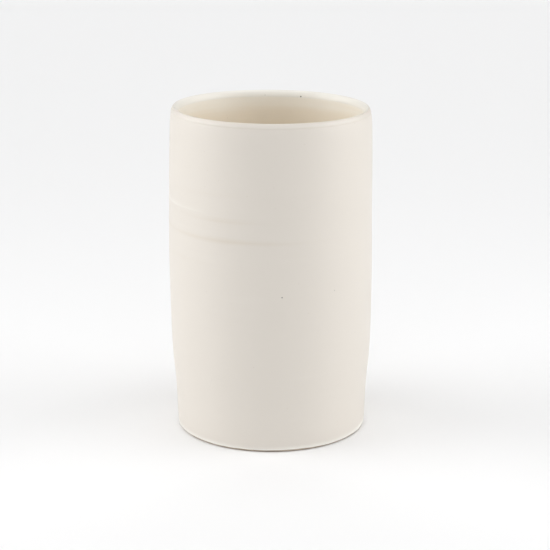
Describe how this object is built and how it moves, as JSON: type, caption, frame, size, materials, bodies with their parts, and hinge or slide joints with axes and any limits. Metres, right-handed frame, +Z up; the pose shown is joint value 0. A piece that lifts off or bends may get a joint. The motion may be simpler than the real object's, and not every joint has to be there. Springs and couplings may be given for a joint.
{
  "type": "cylinder vase",
  "caption": "Hand-thrown stoneware cylinder vase with a warm white satin glaze, soft throwing ridges, a bevelled lip and a bare turned foot ring; it stands and holds cut flowers in water.",
  "frame": {"origin": "on the table, under the middle of the vase: the centre of the circle that the foot ring stands on", "axes": "+Z up, along the axis the vase was thrown about; X and Y are level and the vase is round about +Z"},
  "size_m": [0.1558, 0.1558, 0.25],
  "materials": {
    "clay": "bare fired stoneware, matte and slightly gritty",
    "outer_glaze": "opaque warm white satin glaze",
    "inner_glaze": "opaque warm white satin glaze, a little creamier where it pooled",
    "base_glaze": "opaque warm white satin glaze, thin"
  },
  "bodies": {
    "root": {"clay_body": "clay", "outer_glaze": "outer_glaze", "inner_glaze": "inner_glaze", "base_glaze": "base_glaze"}
  },
  "joints": []
}
